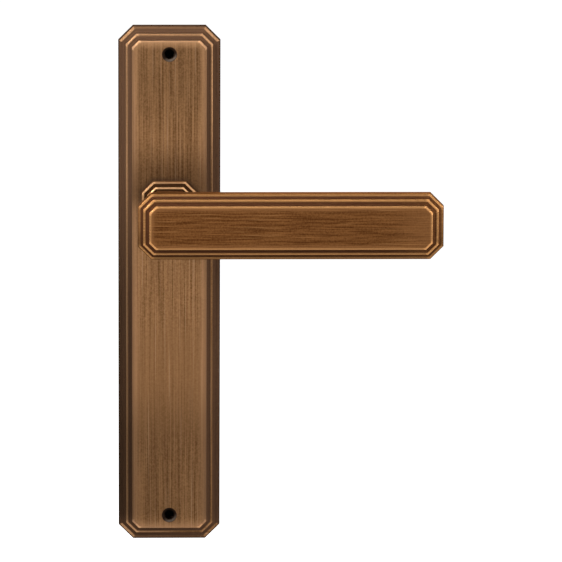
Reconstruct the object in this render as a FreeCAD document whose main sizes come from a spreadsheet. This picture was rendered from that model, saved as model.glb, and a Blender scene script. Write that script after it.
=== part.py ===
import FreeCAD, Part
import math
import os
import re
import Sketcher
from FreeCAD import Placement, Rotation, Vector

# A sprung lever handle on a long backplate, for one side of a door.
# Every body is drawn as seen from the room: X to the right, Y up and Z out of
# the door, with the origin on the spindle axis at the door face. One placement
# then turns each body upright, so that its front looks along -Y.

doc = FreeCAD.newDocument("lever_lockset")
sheet = doc.addObject("Spreadsheet::Sheet", "Sizes")

SIZES = (
    # backplate
    ("plate_width", 50.0, "across the plate"),
    ("plate_length", 257.0, "along the plate"),
    ("plate_above", 89.3, "spindle axis to the top end"),
    ("plate_clip", 7.2, "corner cut, along each side"),
    ("plate_rim", 3.2, "thickness at the outer rim"),
    ("plate_ledge", 6.2, "height of the middle ledge"),
    ("plate_thickness", 9.4, "height of the flat panel"),
    ("plate_inset_one", 3.7, "outline to the middle ledge"),
    ("plate_inset_two", 6.7, "outline to the flat panel"),
    ("plate_cove_one", 2.0, "radius of the outer cove"),
    ("plate_cove_two", 1.8, "radius of the inner cove"),
    ("plate_rim_round", 1.1, "rounding of the outer rim"),
    ("plate_edge_round", 0.7, "rounding of the ledge and panel edges"),
    ("rim_wall", 4.2, "outline to the shallow hollow"),
    ("shallow_depth", 3.2, "height of the shallow hollow"),
    ("panel_wall", 1.9, "panel over the deep hollow"),
    ("deep_wall", 8.0, "outline to the deep hollow"),
    ("hollow_clip", 4.5, "corner cut of the shallow hollow"),
    ("rib_thickness", 2.0, "each stiffening rib"),
    ("rib_depth", 4.6, "how far a rib hangs from the panel"),
    ("rib_first", 60.0, "spindle axis down to the first rib"),
    ("rib_spacing", 45.0, "rib to rib"),
    # door screws
    ("screw_end", 13.3, "screw hole to the plate's end"),
    ("screw_hole", 4.8, "door screw hole"),
    ("screw_head", 7.4, "countersink at the panel"),
    ("screw_boss", 12.0, "boss around a door screw hole"),
    # bearing
    ("journal", 16.0, "lever journal"),
    ("journal_tail", 0.9, "journal behind the door face"),
    ("bush_wall", 1.5, "sleeve of the bush"),
    ("bush_flange", 1.95, "reach of its flange beyond the sleeve"),
    ("bush_lip", 0.8, "thickness of that flange"),
    ("bush_end", 4.9, "door face to the sleeve's back end"),
    ("boss_wall", 2.25, "boss round the bush"),
    ("running_gap", 0.05, "radial gap of a turning fit"),
    ("side_gap", 0.05, "axial gap of a turning fit"),
    ("seat_gap", 0.02, "gap of a close, fixed fit"),
    # lever
    ("lever_length", 147.5, "along the bar"),
    ("lever_behind", 15.7, "spindle axis to the short end"),
    ("lever_width", 32.3, "across the bar"),
    ("lever_clip", 6.4, "corner cut of the bar"),
    ("lever_back", 54.0, "door face to the bar's back"),
    ("lever_rim", 6.0, "bar thickness at its rim"),
    ("lever_rise_one", 2.3, "rim to the middle ledge"),
    ("lever_rise_two", 2.3, "middle ledge to the panel"),
    ("lever_inset_one", 2.6, "outline to the middle ledge"),
    ("lever_inset_two", 5.5, "outline to the flat panel"),
    ("lever_cove_one", 1.4, "radius of the outer cove"),
    ("lever_cove_two", 1.3, "radius of the inner cove"),
    ("lever_rim_round", 0.7, "rounding of the bar's rim"),
    ("lever_edge_round", 0.55, "rounding of ledge and panel edges"),
    ("lever_back_round", 1.4, "rounding of the bar's back edge"),
    ("neck_width", 18.6, "neck across its flats"),
    ("neck_clip", 3.0, "corner cut of the neck"),
    ("neck_flare", 3.0, "radius between neck and bar"),
    # collar at the foot of the neck
    ("collar_reach", 4.3, "neck to the collar's side"),
    ("collar_clip", 5.6, "corner cut of the collar"),
    ("collar_rim", 1.8, "thickness of its lower step"),
    ("collar_rise", 2.1, "height of its upper step"),
    ("collar_inset", 2.7, "lower step to upper step"),
    ("collar_cove", 1.5, "radius between the steps"),
    ("collar_edge_round", 0.45, "rounding of its edges"),
    # spindle
    ("spindle_width", 8.0, "square bar"),
    ("spindle_inside", 33.5, "spindle in front of the door face"),
    ("spindle_behind", 62.0, "spindle behind the door face"),
    ("spindle_gap", 0.08, "gap round the spindle in its socket"),
    ("spindle_bevel", 0.9, "bevel on the spindle's ends"),
    ("socket_end", 0.7, "socket beyond the spindle's end"),
    ("grub_size", 5.0, "grub screw"),
    ("grub_height", 22.0, "door face to the grub screw"),
    ("grub_length", 4.5, "length of the grub screw"),
    ("grub_key", 2.5, "its hexagon, across flats"),
    ("grub_key_depth", 2.0, "depth of the hexagon"),
    # return mechanism
    ("travel", 45.0, "turn of the lever, degrees"),
    ("flat_depth", 1.7, "depth of each flat on the journal"),
    ("flat_end", 4.45, "door face to the end of the flats"),
    ("washer_thickness", 0.5, "thrust washer"),
    ("ring_margin", 0.2, "coil's outside to the disc's edge"),
    ("ring_floor", 1.6, "door face to the disc's back"),
    ("ring_thickness", 1.5, "disc of the drive ring"),
    ("hub_play", 1.0, "hub of the drive ring to the coil's inside"),
    ("lug_width", 4.4, "stop lug"),
    ("lug_margin", 1.6, "lug beyond the centres of the stop pins"),
    ("stop_play", 1.5, "coil's outside to each stop pin"),
    ("stop_pin", 3.0, "stop pin"),
    ("stop_gap", 0.06, "lug to pin at each end of the turn"),
    ("pin_socket", 1.1, "pin depth in the panel"),
    ("wire", 1.6, "spring wire"),
    ("coil_play", 0.4, "bearing boss to the coil's inside"),
    ("coil_pitch", 1.68, "coil to coil"),
    ("coil_turns", 1.5, "turns of the coil"),
    ("coil_gap", 0.1, "drive ring to the coil"),
    ("leg_play", 0.3, "coil's outside to tab and pin, and leg beyond tab"),
    ("leg_swell", 0.02, "how much fuller the bent leg is than the wire"),
    ("tab_width", 3.0, "spring tab"),
    ("tab_height", 5.2, "door face to the tab's top"),
    ("tab_depth", 1.9, "spring tab, outwards"),
    ("anchor_pin", 2.5, "spring anchor pin"),
    ("anchor_play", 0.25, "anchor pin's end to the lug that passes it"),
    ("wave_thickness", 0.4, "wave washer"),
    ("wave_band", 2.0, "wave washer beyond the journal"),
    ("clip_thickness", 1.0, "circlip"),
    ("groove_depth", 0.6, "depth of the circlip's groove"),
    ("clip_band", 2.3, "circlip, from inside to outside"),
    ("clip_mouth", 7.0, "gap between the circlip's ends"),
    ("clip_ear", 3.4, "each ear of the circlip"),
    ("clip_eye", 1.6, "hole in an ear"),
    # cover
    ("cover_thickness", 1.0, "steel cover"),
    ("cover_margin", 6.0, "cover screw to the cover's end"),
    ("cover_clip", 4.0, "corner cut of the cover"),
    ("cover_gap", 0.4, "cover to the hollow's sides"),
    ("clip_play", 2.8, "circlip to the cover's hole"),
    ("post_side", 0.9, "post to the side of the deep hollow"),
    ("post_play", 2.5, "post to the reach of the lug"),
    ("cover_screw", 2.5, "cover screw"),
    ("cover_screw_head", 4.2, "its head"),
    ("cover_screw_length", 6.0, "its length with the head"),
    ("slot_width", 0.6, "its slot"),
    ("slot_depth", 0.6, "depth of the slot"),
    ("cover_post", 6.2, "post that takes a cover screw"),
)

for row, (alias, value, note) in enumerate(SIZES, start=1):
    sheet.set(f"A{row}", alias)
    sheet.set(f"B{row}", str(value))
    sheet.setAlias(f"B{row}", alias)
    sheet.set(f"C{row}", note)
doc.recompute()

NAMES = {alias for alias, value, note in SIZES}
UPRIGHT = Placement(Vector(0, 0, 0), Rotation(Vector(1, 0, 0), 90))


# ---- helpers -----------------------------------------------------------------

def formula(text):
    """Write each size's name in full, as the sheet's cell."""
    return re.sub(r"[a-z][a-z_]*", lambda word: f"Sizes.{word.group()}"
                  if word.group() in NAMES else word.group(), text)


def number(text):
    """The present value of a formula."""
    return float(sheet.evalExpression(formula(text)))


def new_body(label):
    body = doc.addObject("PartDesign::Body", label)
    body.Label = label
    body.Placement = UPRIGHT
    return body


def new_sketch(body, height, role="XY_Plane", turn="0"):
    """A sketch on one of the body's own planes, lifted and turned by formulas."""
    sketch = body.newObject("Sketcher::SketchObject", f"{body.Label}_sketch")
    plane = [item for item in body.Origin.OriginFeatures if item.Role == role][0]
    sketch.AttachmentSupport = [(plane, "")]
    sketch.MapMode = "FlatFace"
    sketch.AttachmentOffset = Placement(Vector(0, 0, 0), Rotation(Vector(0, 0, 1), number(turn)))
    sketch.setExpression(".AttachmentOffset.Base.z", formula(height))
    if turn != "0":
        sketch.setExpression(".AttachmentOffset.Rotation.Angle", formula(turn))
    return sketch


def place(sketch, geometry, end, axis, where):
    """Hold one coordinate of a point at a formula, measured from the origin."""
    value = number(where)
    if abs(value) < 1e-9:
        line = {"X": -2, "Y": -1}[axis]
        sketch.addConstraint(Sketcher.Constraint("PointOnObject", geometry, end, line))
        return
    held = Sketcher.Constraint(f"Distance{axis}", -1, 1, geometry, end, value)
    index = sketch.addConstraint(held)
    sketch.setExpression(f"Constraints[{index}]", formula(where))


def circle(sketch, diameter, x="0", y="0"):
    centre = Vector(number(x), number(y), 0)
    drawn = Part.Circle(centre, Vector(0, 0, 1), number(diameter) / 2)
    geometry = sketch.addGeometry(drawn, False)
    round_size = Sketcher.Constraint("Diameter", geometry, number(diameter))
    index = sketch.addConstraint(round_size)
    sketch.setExpression(f"Constraints[{index}]", formula(diameter))
    place(sketch, geometry, 3, "X", x)
    place(sketch, geometry, 3, "Y", y)


def polygon(sketch, corners):
    """A closed outline whose corners are pairs of formulas."""
    points = [Vector(number(x), number(y), 0) for x, y in corners]
    ends = points[1:] + points[:1]
    lines = [sketch.addGeometry(Part.LineSegment(a, b), False) for a, b in zip(points, ends)]
    for line, following in zip(lines, lines[1:] + lines[:1]):
        sketch.addConstraint(Sketcher.Constraint("Coincident", line, 2, following, 1))
    for line, (x, y) in zip(lines, corners):
        place(sketch, line, 1, "X", x)
        place(sketch, line, 1, "Y", y)


def rectangle(sketch, left, right, low, high):
    polygon(sketch, ((left, low), (right, low), (right, high), (left, high)))


def octagon(sketch, outline, inset="0"):
    """A box with cut corners. The outline gives its reach from the origin to the
    right, left, top and bottom and the cut; the inset moves every side inwards."""
    right, left, top, bottom, clip = outline
    side_right = f"({right} - ({inset}))"
    side_left = f"(({inset}) - {left})"
    side_top = f"({top} - ({inset}))"
    side_low = f"(({inset}) - {bottom})"
    cut = f"({clip} - (2 - sqrt(2)) * ({inset}))"
    polygon(sketch, (
        (side_right, f"{side_low} + {cut}"),
        (side_right, f"{side_top} - {cut}"),
        (f"{side_right} - {cut}", side_top),
        (f"{side_left} + {cut}", side_top),
        (side_left, f"{side_top} - {cut}"),
        (side_left, f"{side_low} + {cut}"),
        (f"{side_left} + {cut}", side_low),
        (f"{side_right} - {cut}", side_low),
    ))


def hexagon(sketch, across, x, y):
    """A hexagon with two flats across the sketch's second axis."""
    point = f"({across}) / sqrt(3)"
    flat = f"({across}) / 2"
    polygon(sketch, (
        (f"{x} + {point}", y),
        (f"{x} + {point} / 2", f"{y} + {flat}"),
        (f"{x} - {point} / 2", f"{y} + {flat}"),
        (f"{x} - {point}", y),
        (f"{x} - {point} / 2", f"{y} - {flat}"),
        (f"{x} + {point} / 2", f"{y} - {flat}"),
    ))


def pad(body, sketch, length):
    """Raise a sketch along its normal."""
    feature = body.newObject("PartDesign::Pad", f"{body.Label}_pad")
    feature.Profile = sketch
    feature.setExpression("Length", formula(length))
    return feature


def pocket(body, sketch, depth):
    """Cut a sketch away, against its normal."""
    feature = body.newObject("PartDesign::Pocket", f"{body.Label}_pocket")
    feature.Profile = sketch
    feature.setExpression("Length", formula(depth))
    return feature


def turned(body, sketch, kind):
    """Revolve a sketch about its own vertical axis, as metal or as a cut."""
    feature = body.newObject(f"PartDesign::{kind}", f"{body.Label}_turned")
    feature.Profile = sketch
    feature.ReferenceAxis = (sketch, ["V_Axis"])
    feature.Angle = 360
    return feature


def ring(body, low, high, inner, outer):
    """A plain ring between two heights and two diameters."""
    section = new_sketch(body, "0", "XZ_Plane")
    rectangle(section, f"({inner}) / 2", f"({outer}) / 2", low, high)
    return turned(body, section, "Revolution")


def double_flat(sketch, diameter, across):
    """A round hole with two flats, left and right."""
    radius = number(diameter) / 2
    side = number(across) / 2
    reach = math.sqrt(radius ** 2 - side ** 2)
    angle = math.acos(side / radius)
    round_line = Part.Circle(Vector(0, 0, 0), Vector(0, 0, 1), radius)
    top = sketch.addGeometry(Part.ArcOfCircle(round_line, angle, math.pi - angle), False)
    left = sketch.addGeometry(
        Part.LineSegment(Vector(-side, reach, 0), Vector(-side, -reach, 0)), False)
    low = sketch.addGeometry(
        Part.ArcOfCircle(round_line, math.pi + angle, 2 * math.pi - angle), False)
    right = sketch.addGeometry(
        Part.LineSegment(Vector(side, -reach, 0), Vector(side, reach, 0)), False)
    for line, following in ((top, left), (left, low), (low, right), (right, top)):
        sketch.addConstraint(Sketcher.Constraint("Coincident", line, 2, following, 1))
    for arc in (top, low):
        sketch.addConstraint(Sketcher.Constraint("Coincident", arc, 3, -1, 1))
    round_size = Sketcher.Constraint("Radius", top, radius)
    index = sketch.addConstraint(round_size)
    sketch.setExpression(f"Constraints[{index}]", formula(f"({diameter}) / 2"))
    for line in (left, right):
        sketch.addConstraint(Sketcher.Constraint("Vertical", line))
    place(sketch, left, 1, "X", f"-({across}) / 2")
    place(sketch, right, 1, "X", f"({across}) / 2")


def loop_edges(body, sketch, rise="0"):
    """Names of the body's edges that lie on a sketch's lines, lifted by a formula."""
    doc.recompute()
    lift = sketch.Placement.Rotation.multVec(Vector(0, 0, number(rise)))
    centres = [edge.CenterOfMass + lift for edge in sketch.Shape.Edges]
    names = []
    for index, edge in enumerate(body.Tip.Shape.Edges, start=1):
        if any((edge.CenterOfMass - centre).Length < 0.02 for centre in centres):
            names.append(f"Edge{index}")
    return names


def rounded(body, names, radius):
    base = body.Tip
    feature = body.newObject("PartDesign::Fillet", f"{body.Label}_round")
    feature.Base = (base, names)
    feature.setExpression("Radius", formula(radius))
    return feature


def bevelled(body, names, size):
    base = body.Tip
    feature = body.newObject("PartDesign::Chamfer", f"{body.Label}_bevel")
    feature.Base = (base, names)
    feature.setExpression("Size", formula(size))
    return feature


def stepped_panel(body, outline, levels, insets, coves, rim_round, edge_round):
    """Stacked octagons with a cove in each inner corner: rim, ledge and panel."""
    tiers = []
    for low, high, inset in zip(levels, levels[1:], insets):
        tier = new_sketch(body, low)
        octagon(tier, outline, inset)
        pad(body, tier, f"({high}) - ({low})")
        tiers.append((tier, f"({high}) - ({low})"))
    for (tier, rise), cove in zip(tiers[1:], coves):
        rounded(body, loop_edges(body, tier), cove)
    rim, rim_rise = tiers[0]
    rounded(body, loop_edges(body, rim, rim_rise), rim_round)
    for tier, rise in tiers[1:]:
        rounded(body, loop_edges(body, tier, rise), edge_round)
    return tiers


# ---- shared places -----------------------------------------------------------

PLATE = ("plate_width / 2", "plate_width / 2", "plate_above",
         "(plate_length - plate_above)", "plate_clip")
BAR = ("(lever_length - lever_behind)", "lever_behind", "lever_width / 2",
       "lever_width / 2", "lever_clip")
NECK = ("neck_width / 2",) * 4 + ("neck_clip",)
COLLAR = ("(neck_width / 2 + collar_reach)",) * 4 + ("collar_clip",)
HOLLOW_TOP = "(plate_thickness - panel_wall)"
SCREW_TOP = "(plate_above - screw_end)"
SCREW_LOW = "(plate_above - plate_length + screw_end)"
FOOT = "(plate_thickness + bush_lip + side_gap)"

BUSH_OUTSIDE = "(journal + 2 * running_gap + 2 * bush_wall)"
BOSS_OUTSIDE = f"({BUSH_OUTSIDE} + 2 * boss_wall)"
COIL_RADIUS = f"({BOSS_OUTSIDE} / 2 + coil_play + wire / 2)"
COIL_INSIDE = f"({COIL_RADIUS} - wire / 2)"
COIL_OUTSIDE = f"({COIL_RADIUS} + wire / 2)"
RING_RADIUS = f"({COIL_OUTSIDE} - ring_margin)"
HUB_OUTSIDE = f"(2 * ({COIL_INSIDE} - hub_play))"
ARM_START = f"({HUB_OUTSIDE} / 2 - 1)"
TAB_START = f"({COIL_OUTSIDE} + leg_play)"
TAB_REACH = f"({TAB_START} + tab_depth)"
LEG_REACH = f"({TAB_REACH} + leg_play)"
LEG_RADIUS = "(wire / 2 + leg_swell)"
FLAT_WIDTH = "(journal - 2 * flat_depth)"
CLIP_INSIDE = "(journal - 2 * groove_depth)"
CLIP_OUTSIDE = f"({CLIP_INSIDE} + 2 * clip_band)"

RING_TOP = "(ring_floor + ring_thickness)"
HUB_TOP = "(bush_end - 2 * side_gap - washer_thickness)"
COIL_LOW = f"({RING_TOP} + coil_gap + wire / 2)"
COIL_TOP = f"({COIL_LOW} + coil_pitch * coil_turns)"
WAVE_LOW = "(ring_floor - side_gap - wave_thickness)"
CLIP_LOW = f"({WAVE_LOW} - side_gap - clip_thickness)"

# The lug swings evenly to both sides of the plate's middle line, so the ring
# and the spring are drawn half the travel back from it.
HALF_TURN = "(travel / 2)"
PIN_TOP = f"({HOLLOW_TOP} + pin_socket)"
STOP_SIDE = "(lug_width / 2 + stop_pin / 2 + stop_gap)"
STOP_RADIUS = f"({COIL_OUTSIDE} + stop_play + stop_pin / 2)"
STOP_ALONG = f"sqrt({STOP_RADIUS} ^ 2 - {STOP_SIDE} ^ 2)"
STOP_X = f"({STOP_SIDE} * cos{HALF_TURN} + {STOP_ALONG} * sin{HALF_TURN})"
STOP_Y = f"({STOP_ALONG} * cos{HALF_TURN} - {STOP_SIDE} * sin{HALF_TURN})"
STOPS = ((f"-{STOP_X}", STOP_Y), (STOP_X, STOP_Y))
LUG_REACH = f"({STOP_RADIUS} + lug_margin)"
ANCHOR_SIDE = f"({LEG_RADIUS} + anchor_pin / 2 + seat_gap)"
ANCHOR_ALONG = f"({TAB_START} + anchor_pin / 2)"
ANCHOR = (f"{ANCHOR_SIDE} * cos{HALF_TURN} - {ANCHOR_ALONG} * sin{HALF_TURN}",
          f"{ANCHOR_SIDE} * sin{HALF_TURN} + {ANCHOR_ALONG} * cos{HALF_TURN}")

SCREW_CLEARANCE = "(cover_screw + 4 * seat_gap)"
SCREW_SLOPE = "((cover_screw_head - cover_screw) / 2)"
THREAD_END = "(cover_screw_length + 0.4)"
POST_X = "(plate_width / 2 - deep_wall - cover_post / 2 - post_side)"
POST_Y = f"({LUG_REACH} + cover_post / 2 + post_play)"
COVER_SCREWS = ((POST_X, POST_Y), (f"-{POST_X}", POST_Y),
                (f"-{POST_X}", f"-{POST_Y}"), (POST_X, f"-{POST_Y}"))


# ---- fixed pieces ------------------------------------------------------------

def backplate():
    """Hollow casting: moulded front, bearing boss, screw bosses, posts and ribs."""
    body = new_body("backplate")
    stepped_panel(body, PLATE, ("0", "plate_rim", "plate_ledge", "plate_thickness"),
                  ("0", "plate_inset_one", "plate_inset_two"),
                  ("plate_cove_one", "plate_cove_two"), "plate_rim_round",
                  "plate_edge_round")
    shallow = new_sketch(body, "shallow_depth")
    octagon(shallow, PLATE[:4] + ("hollow_clip + (2 - sqrt(2)) * rim_wall",), "rim_wall")
    pocket(body, shallow, "shallow_depth")
    deep = new_sketch(body, HOLLOW_TOP)
    octagon(deep, PLATE[:4] + ("hollow_clip + (2 - sqrt(2)) * deep_wall",), "deep_wall")
    pocket(body, deep, f"{HOLLOW_TOP} - shallow_depth / 2")

    boss = new_sketch(body, "bush_end")
    circle(boss, BOSS_OUTSIDE)
    pad(body, boss, f"{HOLLOW_TOP} - bush_end + panel_wall / 2")
    screw_bosses = new_sketch(body, "0")
    circle(screw_bosses, "screw_boss", "0", SCREW_TOP)
    circle(screw_bosses, "screw_boss", "0", SCREW_LOW)
    pad(body, screw_bosses, f"{HOLLOW_TOP} + panel_wall / 2")
    posts = new_sketch(body, "cover_thickness")
    for x, y in COVER_SCREWS:
        circle(posts, "cover_post", x, y)
    pad(body, posts, f"{HOLLOW_TOP} - cover_thickness + panel_wall / 2")

    rib = new_sketch(body, f"{HOLLOW_TOP} - rib_depth")
    rib_end = "(plate_width / 2 - deep_wall + seat_gap)"
    rectangle(rib, f"-{rib_end}", rib_end, "-(rib_first + rib_thickness)", "-rib_first")
    one_rib = pad(body, rib, "rib_depth + panel_wall / 2")
    doc.recompute()
    ribs = body.newObject("PartDesign::LinearPattern", "backplate_ribs")
    ribs.Originals = [one_rib]
    ribs.Direction = (rib, ["V_Axis"])
    ribs.Reversed = True
    ribs.Occurrences = 2
    ribs.setExpression("Length", formula("rib_spacing"))
    body.Tip = ribs

    bore = new_sketch(body, "plate_thickness + 1")
    circle(bore, BUSH_OUTSIDE)
    pocket(body, bore, "plate_thickness + 1")
    holes = new_sketch(body, "plate_thickness + 1")
    circle(holes, "screw_hole", "0", SCREW_TOP)
    circle(holes, "screw_hole", "0", SCREW_LOW)
    pocket(body, holes, "plate_thickness + 2")
    bevelled(body, loop_edges(body, holes, "-1"), "(screw_head - screw_hole) / 2")
    pin_holes = new_sketch(body, PIN_TOP)
    for x, y in STOPS:
        circle(pin_holes, "stop_pin", x, y)
    circle(pin_holes, "anchor_pin", *ANCHOR)
    pocket(body, pin_holes, "pin_socket + seat_gap")
    threads = new_sketch(body, THREAD_END)
    for x, y in COVER_SCREWS:
        circle(threads, "cover_screw + 2 * seat_gap", x, y)
    pocket(body, threads, THREAD_END)
    return body


def bearing_bush():
    """Acetal sleeve whose flange also keeps the collar off the plate."""
    body = new_body("bearing_bush")
    section = new_sketch(body, "0", "XZ_Plane")
    inside = "(journal / 2 + running_gap)"
    outside = f"({inside} + bush_wall)"
    flange = f"({outside} + bush_flange)"
    lip = "(plate_thickness + bush_lip)"
    polygon(section, (
        (inside, "bush_end"),
        (outside, "bush_end"),
        (outside, "plate_thickness"),
        (flange, "plate_thickness"),
        (flange, lip),
        (inside, lip),
    ))
    turned(body, section, "Revolution")
    return body


def thrust_washer():
    body = new_body("thrust_washer")
    ring(body, f"{HUB_TOP} + side_gap", f"{HUB_TOP} + side_gap + washer_thickness",
         "journal + 2 * running_gap", HUB_OUTSIDE)
    return body


def return_spring():
    """Torsion coil round the bearing boss, with one leg to each side."""
    path = doc.addObject("Part::Helix", "return_spring_path")
    path.setExpression("Pitch", formula("coil_pitch"))
    path.setExpression("Height", formula("coil_pitch * coil_turns"))
    path.setExpression("Radius", formula(COIL_RADIUS))
    path.setExpression(".Placement.Base.z", formula(COIL_LOW))
    section = doc.addObject("Part::Circle", "return_spring_section")
    section.setExpression("Radius", formula("wire / 2"))
    section.Placement.Rotation = Rotation(Vector(1, 0, 0), -90)
    section.setExpression(".Placement.Base.x", formula(COIL_RADIUS))
    section.setExpression(".Placement.Base.z", formula(COIL_LOW))
    coil = doc.addObject("Part::Sweep", "return_spring_coil")
    coil.Sections = [section]
    coil.Spine = (path, ["Edge1"])
    coil.Solid = True
    coil.Frenet = True
    legs = []
    for start, height in ((COIL_INSIDE, COIL_LOW), (f"-{LEG_REACH}", COIL_TOP)):
        leg = doc.addObject("Part::Cylinder", "return_spring_leg")
        leg.setExpression("Radius", formula(LEG_RADIUS))
        leg.setExpression("Height", formula(f"{LEG_REACH} - {COIL_INSIDE}"))
        leg.Placement.Rotation = Rotation(Vector(0, 1, 0), 90)
        leg.setExpression(".Placement.Base.x", formula(start))
        leg.setExpression(".Placement.Base.z", formula(height))
        legs.append(leg)
    whole = doc.addObject("Part::MultiFuse", "return_spring")
    whole.Label = "return_spring"
    whole.Shapes = [coil] + legs
    swing = Rotation(Vector(0, 0, 1), number(f"{HALF_TURN} - 90"))
    whole.Placement = UPRIGHT.multiply(Placement(Vector(0, 0, 0), swing))
    return whole


def cover_plate():
    """Steel cover over the return mechanism, flush with the door face."""
    body = new_body("cover_plate")
    outline = new_sketch(body, "0")
    side = "(plate_width / 2 - rim_wall - cover_gap)"
    end = f"({POST_Y} + cover_margin)"
    octagon(outline, (side, side, end, end, "cover_clip"))
    circle(outline, f"{CLIP_OUTSIDE} + 2 * clip_play")
    for x, y in STOPS:
        circle(outline, "stop_pin", x, y)
    pad(body, outline, "cover_thickness")
    holes = new_sketch(body, "cover_thickness")
    for x, y in COVER_SCREWS:
        circle(holes, SCREW_CLEARANCE, x, y)
    pocket(body, holes, "cover_thickness")
    bevelled(body, loop_edges(body, holes, "-cover_thickness"), SCREW_SLOPE)
    return body


def pins(label, places, diameter, low, high):
    """Straight pins that share one node."""
    rods = []
    for x, y in places:
        rod = doc.addObject("Part::Cylinder", f"{label}_rod")
        rod.setExpression("Radius", formula(f"({diameter}) / 2"))
        rod.setExpression("Height", formula(f"({high}) - ({low})"))
        rod.setExpression(".Placement.Base.x", formula(x))
        rod.setExpression(".Placement.Base.y", formula(y))
        rod.setExpression(".Placement.Base.z", formula(low))
        rods.append(rod)
    group = doc.addObject("Part::Compound", label)
    group.Label = label
    group.Links = rods
    group.Placement = UPRIGHT
    return group


def cover_screws():
    """Countersunk screws with a slot, heads flush with the cover's back."""
    screws = []
    for x, y in COVER_SCREWS:
        head = doc.addObject("Part::Cone", "cover_screw_head")
        head.setExpression("Radius1", formula("cover_screw_head / 2"))
        head.setExpression("Radius2", formula("cover_screw / 2"))
        head.setExpression("Height", formula(SCREW_SLOPE))
        shank = doc.addObject("Part::Cylinder", "cover_screw_shank")
        shank.setExpression("Radius", formula("cover_screw / 2"))
        shank.setExpression("Height", formula("cover_screw_length"))
        whole = doc.addObject("Part::Fuse", "cover_screw_blank")
        whole.Base = head
        whole.Tool = shank
        slot = doc.addObject("Part::Box", "cover_screw_slot")
        slot.setExpression("Length", formula("cover_screw_head"))
        slot.setExpression("Width", formula("slot_width"))
        slot.setExpression("Height", formula("slot_depth"))
        slot.setExpression(".Placement.Base.x", formula("-cover_screw_head / 2"))
        slot.setExpression(".Placement.Base.y", formula("-slot_width / 2"))
        screw = doc.addObject("Part::Cut", "cover_screw_cut")
        screw.Base = whole
        screw.Tool = slot
        screw.setExpression(".Placement.Base.x", formula(x))
        screw.setExpression(".Placement.Base.y", formula(y))
        screw.setExpression(".Placement.Base.z", formula("seat_gap"))
        screws.append(screw)
    group = doc.addObject("Part::Compound", "cover_screws")
    group.Label = "cover_screws"
    group.Links = screws
    group.Placement = UPRIGHT
    return group


# ---- pieces that turn --------------------------------------------------------

def lever_handle():
    """One casting: moulded bar, octagonal neck and bearing journal."""
    body = new_body("lever_handle")
    neck = new_sketch(body, FOOT)
    octagon(neck, NECK)
    pad(body, neck, f"lever_back - {FOOT}")
    rim_top = "(lever_back + lever_rim)"
    ledge = "(lever_back + lever_rim + lever_rise_one)"
    panel = "(lever_back + lever_rim + lever_rise_one + lever_rise_two)"
    tiers = stepped_panel(body, BAR, ("lever_back", rim_top, ledge, panel),
                          ("0", "lever_inset_one", "lever_inset_two"),
                          ("lever_cove_one", "lever_cove_two"), "lever_rim_round",
                          "lever_edge_round")
    rounded(body, loop_edges(body, neck, f"lever_back - {FOOT}"), "neck_flare")
    rounded(body, loop_edges(body, tiers[0][0]), "lever_back_round")
    journal = new_sketch(body, "-journal_tail")
    circle(journal, "journal")
    pad(body, journal, f"journal_tail + {FOOT} + neck_flare")

    socket = new_sketch(body, "spindle_inside + socket_end")
    half = "(spindle_width / 2 + spindle_gap)"
    rectangle(socket, f"-{half}", half, f"-{half}", half)
    pocket(body, socket, "spindle_inside + socket_end + journal_tail")
    flats = new_sketch(body, "flat_end")
    rectangle(flats, f"{FLAT_WIDTH} / 2", "journal", "-journal", "journal")
    rectangle(flats, "-journal", f"-{FLAT_WIDTH} / 2", "-journal", "journal")
    pocket(body, flats, "flat_end + journal_tail")
    groove = new_sketch(body, "0", "XZ_Plane")
    rectangle(groove, f"{CLIP_INSIDE} / 2", "journal", f"{CLIP_LOW} - side_gap", WAVE_LOW)
    turned(body, groove, "Groove")
    grub_hole = new_sketch(body, "neck_width / 2 + 1", "XZ_Plane")
    circle(grub_hole, "grub_size", "0", "grub_height")
    pocket(body, grub_hole, "neck_width / 2 + 1 - spindle_width / 2")
    return body


def neck_collar():
    """Stepped octagonal collar pressed on the foot of the neck."""
    body = new_body("neck_collar")
    step = f"({FOOT} + collar_rim)"
    stepped_panel(body, COLLAR, (FOOT, step, f"{step} + collar_rise"),
                  ("0", "collar_inset"), ("collar_cove",), "collar_edge_round",
                  "collar_edge_round")
    hole = new_sketch(body, f"{step} + collar_rise + 1")
    octagon(hole, NECK, "-seat_gap")
    pocket(body, hole, "collar_rim + collar_rise + 2")
    return body


def spindle():
    """Square steel bar from the lever's socket through the door."""
    body = new_body("spindle")
    section = new_sketch(body, "-spindle_behind")
    half = "(spindle_width / 2)"
    rectangle(section, f"-{half}", half, f"-{half}", half)
    whole = "spindle_behind + spindle_inside"
    pad(body, section, whole)
    bevelled(body, loop_edges(body, section), "spindle_bevel")
    bevelled(body, loop_edges(body, section, whole), "spindle_bevel")
    return body


def grub_screw():
    """Socket set screw that clamps the spindle from under the neck."""
    body = new_body("grub_screw")
    tip = new_sketch(body, "spindle_width / 2 + seat_gap", "XZ_Plane")
    circle(tip, "grub_size - 2 * seat_gap", "0", "grub_height")
    pad(body, tip, "grub_length")
    key = new_sketch(body, "spindle_width / 2 + seat_gap + grub_length", "XZ_Plane")
    hexagon(key, "grub_key", "0", "grub_height")
    pocket(body, key, "grub_key_depth")
    bevelled(body, loop_edges(body, tip), "grub_size / 10")
    return body


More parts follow.
